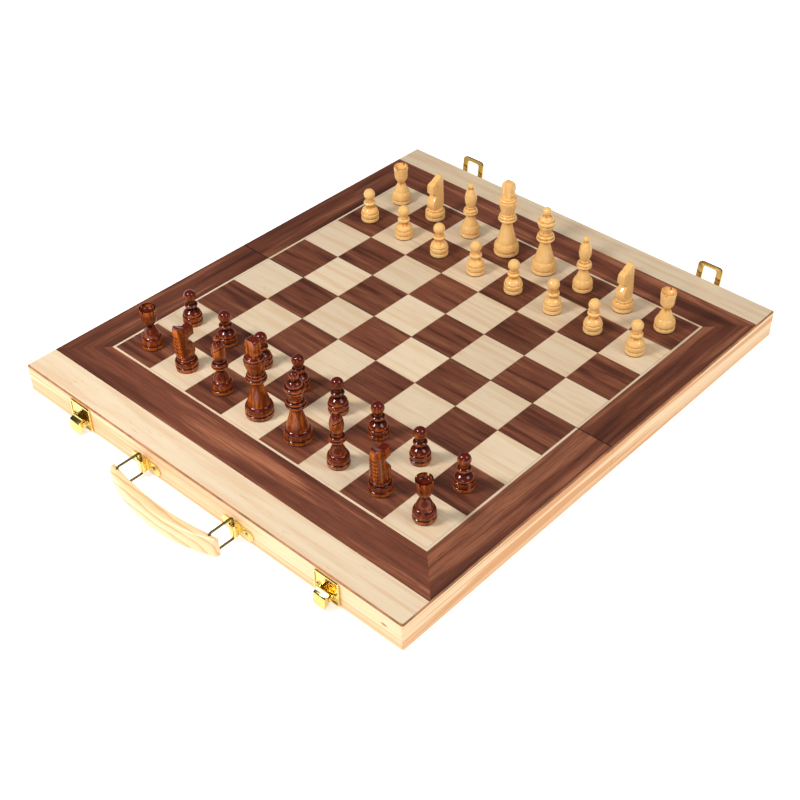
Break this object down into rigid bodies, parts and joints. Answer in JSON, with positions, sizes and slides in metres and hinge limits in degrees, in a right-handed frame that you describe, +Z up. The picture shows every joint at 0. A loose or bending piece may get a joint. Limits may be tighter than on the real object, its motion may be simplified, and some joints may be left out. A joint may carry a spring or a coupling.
{
  "type": "folding chess set",
  "caption": "Folding wooden chess case opened flat as a veneered board, with handle, latches and turned men on their squares.",
  "frame": {"origin": "middle of the seam between the two halves, in the plane of the rims that the open case rests on", "axes": "+X along the seam, left to right from the handle side; +Y from the handle side to the far side; +Z up out of the playing surface"},
  "size_m": [0.424, 0.5301, 0.1018],
  "materials": {
    "pine": "clear satin lacquer over straight-grained pine",
    "grip_wood": "clear satin lacquer over bent pine",
    "core_board": "red-brown stained board edge",
    "walnut": "satin walnut veneer",
    "maple": "satin maple veneer",
    "lining_felt": "short dark green felt",
    "brass": "bright polished brass plate",
    "screw_brass": "brass-plated screw",
    "boxwood": "honey-coloured gloss lacquer",
    "stained_wood": "red-brown stain under gloss lacquer, dark in the grooves"
  },
  "bodies": {
    "near_half": {"near_handle_rail": "pine", "near_side_rails": "pine", "near_hinge_rail": "pine", "near_panel": "core_board", "near_walnut_veneer": "walnut", "near_maple_veneer": "maple", "near_felt_lining": "lining_felt", "near_hinge_leaves_and_pins": "brass", "latch_plates_and_pins": "brass", "handle_brackets": "brass", "near_screws": "screw_brass"},
    "far_half": {"far_latch_rail": "pine", "far_side_rails": "pine", "far_hinge_rail": "pine", "far_panel": "core_board", "far_walnut_veneer": "walnut", "far_maple_veneer": "maple", "far_felt_lining": "lining_felt", "far_hinge_leaves": "brass", "loop_plates": "brass", "far_screws": "screw_brass"},
    "left_lever": {"left_latch_lever": "brass"},
    "right_lever": {"right_latch_lever": "brass"},
    "left_loop": {"left_latch_loop": "brass"},
    "right_loop": {"right_latch_loop": "brass"},
    "left_bail": {"left_handle_bail": "brass"},
    "right_bail": {"right_handle_bail": "brass"},
    "grip": {"handle_grip": "grip_wood"},
    "dark_rook_1_man": {"dark_rook_1": "stained_wood"},
    "dark_knight_1_man": {"dark_knight_1": "stained_wood"},
    "dark_bishop_1_man": {"dark_bishop_1": "stained_wood"},
    "dark_king_man": {"dark_king": "stained_wood"},
    "dark_queen_man": {"dark_queen": "stained_wood"},
    "dark_bishop_2_man": {"dark_bishop_2": "stained_wood"},
    "dark_knight_2_man": {"dark_knight_2": "stained_wood"},
    "dark_rook_2_man": {"dark_rook_2": "stained_wood"},
    "dark_pawn_1_man": {"dark_pawn_1": "stained_wood"},
    "dark_pawn_2_man": {"dark_pawn_2": "stained_wood"},
    "dark_pawn_3_man": {"dark_pawn_3": "stained_wood"},
    "dark_pawn_4_man": {"dark_pawn_4": "stained_wood"},
    "dark_pawn_5_man": {"dark_pawn_5": "stained_wood"},
    "dark_pawn_6_man": {"dark_pawn_6": "stained_wood"},
    "dark_pawn_7_man": {"dark_pawn_7": "stained_wood"},
    "dark_pawn_8_man": {"dark_pawn_8": "stained_wood"},
    "white_rook_1_man": {"white_rook_1": "boxwood"},
    "white_knight_1_man": {"white_knight_1": "boxwood"},
    "white_bishop_1_man": {"white_bishop_1": "boxwood"},
    "white_king_man": {"white_king": "boxwood"},
    "white_queen_man": {"white_queen": "boxwood"},
    "white_bishop_2_man": {"white_bishop_2": "boxwood"},
    "white_knight_2_man": {"white_knight_2": "boxwood"},
    "white_rook_2_man": {"white_rook_2": "boxwood"},
    "white_pawn_1_man": {"white_pawn_1": "boxwood"},
    "white_pawn_2_man": {"white_pawn_2": "boxwood"},
    "white_pawn_3_man": {"white_pawn_3": "boxwood"},
    "white_pawn_4_man": {"white_pawn_4": "boxwood"},
    "white_pawn_5_man": {"white_pawn_5": "boxwood"},
    "white_pawn_6_man": {"white_pawn_6": "boxwood"},
    "white_pawn_7_man": {"white_pawn_7": "boxwood"},
    "white_pawn_8_man": {"white_pawn_8": "boxwood"}
  },
  "joints": [
    {"name": "fold", "type": "hinge", "parent": "near_half", "child": "far_half", "pos_m": [0, 0, -0.0001], "axis": [-1, 0, 0], "range_deg": [0, 180]},
    {"name": "left_lever_press", "type": "hinge", "parent": "near_half", "child": "left_lever", "pos_m": [-0.14, -0.2437, 0.008], "axis": [1, 0, 0], "range_deg": [0, 35], "stiffness_Nm_per_rad": 0.01, "springref_deg": -17.19},
    {"name": "left_loop_swing", "type": "hinge", "parent": "far_half", "child": "left_loop", "pos_m": [-0.14, 0.2433, 0.0115], "axis": [-1, 0, 0], "range_deg": [-6.5, 173.5]},
    {"name": "right_lever_press", "type": "hinge", "parent": "near_half", "child": "right_lever", "pos_m": [0.14, -0.2437, 0.008], "axis": [1, 0, 0], "range_deg": [0, 35], "stiffness_Nm_per_rad": 0.01, "springref_deg": -17.19},
    {"name": "right_loop_swing", "type": "hinge", "parent": "far_half", "child": "right_loop", "pos_m": [0.14, 0.2433, 0.0115], "axis": [-1, 0, 0], "range_deg": [-9.5, 170.5]},
    {"name": "left_bail_swing", "type": "hinge", "parent": "near_half", "child": "left_bail", "pos_m": [-0.06, -0.245, 0.0095], "axis": [0, 0, 1], "range_deg": [-75, 75]},
    {"name": "grip_pivot", "type": "hinge", "parent": "left_bail", "child": "grip", "pos_m": [-0.06, -0.267, 0.0118], "axis": [0, 0, 1], "range_deg": [-75, 75]},
    {"name": "right_bail_swing", "type": "hinge", "parent": "near_half", "child": "right_bail", "pos_m": [0.046, -0.245, 0.0095], "axis": [0, 0, 1], "range_deg": [-75, 75]},
    {"name": "dark_rook_1_lift", "type": "slide", "parent": "near_half", "child": "dark_rook_1_man", "axis": [0, 0, 1], "range_m": [0, 0.1]},
    {"name": "dark_knight_1_lift", "type": "slide", "parent": "near_half", "child": "dark_knight_1_man", "axis": [0, 0, 1], "range_m": [0, 0.1]},
    {"name": "dark_bishop_1_lift", "type": "slide", "parent": "near_half", "child": "dark_bishop_1_man", "axis": [0, 0, 1], "range_m": [0, 0.1]},
    {"name": "dark_king_lift", "type": "slide", "parent": "near_half", "child": "dark_king_man", "axis": [0, 0, 1], "range_m": [0, 0.1]},
    {"name": "dark_queen_lift", "type": "slide", "parent": "near_half", "child": "dark_queen_man", "axis": [0, 0, 1], "range_m": [0, 0.1]},
    {"name": "dark_bishop_2_lift", "type": "slide", "parent": "near_half", "child": "dark_bishop_2_man", "axis": [0, 0, 1], "range_m": [0, 0.1]},
    {"name": "dark_knight_2_lift", "type": "slide", "parent": "near_half", "child": "dark_knight_2_man", "axis": [0, 0, 1], "range_m": [0, 0.1]},
    {"name": "dark_rook_2_lift", "type": "slide", "parent": "near_half", "child": "dark_rook_2_man", "axis": [0, 0, 1], "range_m": [0, 0.1]},
    {"name": "dark_pawn_1_lift", "type": "slide", "parent": "near_half", "child": "dark_pawn_1_man", "axis": [0, 0, 1], "range_m": [0, 0.1]},
    {"name": "dark_pawn_2_lift", "type": "slide", "parent": "near_half", "child": "dark_pawn_2_man", "axis": [0, 0, 1], "range_m": [0, 0.1]},
    {"name": "dark_pawn_3_lift", "type": "slide", "parent": "near_half", "child": "dark_pawn_3_man", "axis": [0, 0, 1], "range_m": [0, 0.1]},
    {"name": "dark_pawn_4_lift", "type": "slide", "parent": "near_half", "child": "dark_pawn_4_man", "axis": [0, 0, 1], "range_m": [0, 0.1]},
    {"name": "dark_pawn_5_lift", "type": "slide", "parent": "near_half", "child": "dark_pawn_5_man", "axis": [0, 0, 1], "range_m": [0, 0.1]},
    {"name": "dark_pawn_6_lift", "type": "slide", "parent": "near_half", "child": "dark_pawn_6_man", "axis": [0, 0, 1], "range_m": [0, 0.1]},
    {"name": "dark_pawn_7_lift", "type": "slide", "parent": "near_half", "child": "dark_pawn_7_man", "axis": [0, 0, 1], "range_m": [0, 0.1]},
    {"name": "dark_pawn_8_lift", "type": "slide", "parent": "near_half", "child": "dark_pawn_8_man", "axis": [0, 0, 1], "range_m": [0, 0.1]},
    {"name": "white_rook_1_lift", "type": "slide", "parent": "far_half", "child": "white_rook_1_man", "axis": [0, 0, 1], "range_m": [0, 0.1]},
    {"name": "white_knight_1_lift", "type": "slide", "parent": "far_half", "child": "white_knight_1_man", "axis": [0, 0, 1], "range_m": [0, 0.1]},
    {"name": "white_bishop_1_lift", "type": "slide", "parent": "far_half", "child": "white_bishop_1_man", "axis": [0, 0, 1], "range_m": [0, 0.1]},
    {"name": "white_king_lift", "type": "slide", "parent": "far_half", "child": "white_king_man", "axis": [0, 0, 1], "range_m": [0, 0.1]},
    {"name": "white_queen_lift", "type": "slide", "parent": "far_half", "child": "white_queen_man", "axis": [0, 0, 1], "range_m": [0, 0.1]},
    {"name": "white_bishop_2_lift", "type": "slide", "parent": "far_half", "child": "white_bishop_2_man", "axis": [0, 0, 1], "range_m": [0, 0.1]},
    {"name": "white_knight_2_lift", "type": "slide", "parent": "far_half", "child": "white_knight_2_man", "axis": [0, 0, 1], "range_m": [0, 0.1]},
    {"name": "white_rook_2_lift", "type": "slide", "parent": "far_half", "child": "white_rook_2_man", "axis": [0, 0, 1], "range_m": [0, 0.1]},
    {"name": "white_pawn_1_lift", "type": "slide", "parent": "far_half", "child": "white_pawn_1_man", "axis": [0, 0, 1], "range_m": [0, 0.1]},
    {"name": "white_pawn_2_lift", "type": "slide", "parent": "far_half", "child": "white_pawn_2_man", "axis": [0, 0, 1], "range_m": [0, 0.1]},
    {"name": "white_pawn_3_lift", "type": "slide", "parent": "far_half", "child": "white_pawn_3_man", "axis": [0, 0, 1], "range_m": [0, 0.1]},
    {"name": "white_pawn_4_lift", "type": "slide", "parent": "far_half", "child": "white_pawn_4_man", "axis": [0, 0, 1], "range_m": [0, 0.1]},
    {"name": "white_pawn_5_lift", "type": "slide", "parent": "far_half", "child": "white_pawn_5_man", "axis": [0, 0, 1], "range_m": [0, 0.1]},
    {"name": "white_pawn_6_lift", "type": "slide", "parent": "far_half", "child": "white_pawn_6_man", "axis": [0, 0, 1], "range_m": [0, 0.1]},
    {"name": "white_pawn_7_lift", "type": "slide", "parent": "far_half", "child": "white_pawn_7_man", "axis": [0, 0, 1], "range_m": [0, 0.1]},
    {"name": "white_pawn_8_lift", "type": "slide", "parent": "far_half", "child": "white_pawn_8_man", "axis": [0, 0, 1], "range_m": [0, 0.1]}
  ],
  "couplings": [
    {"joint": "grip_pivot", "follows": "left_bail_swing", "ratio": -1},
    {"joint": "right_bail_swing", "follows": "left_bail_swing", "ratio": 1}
  ]
}
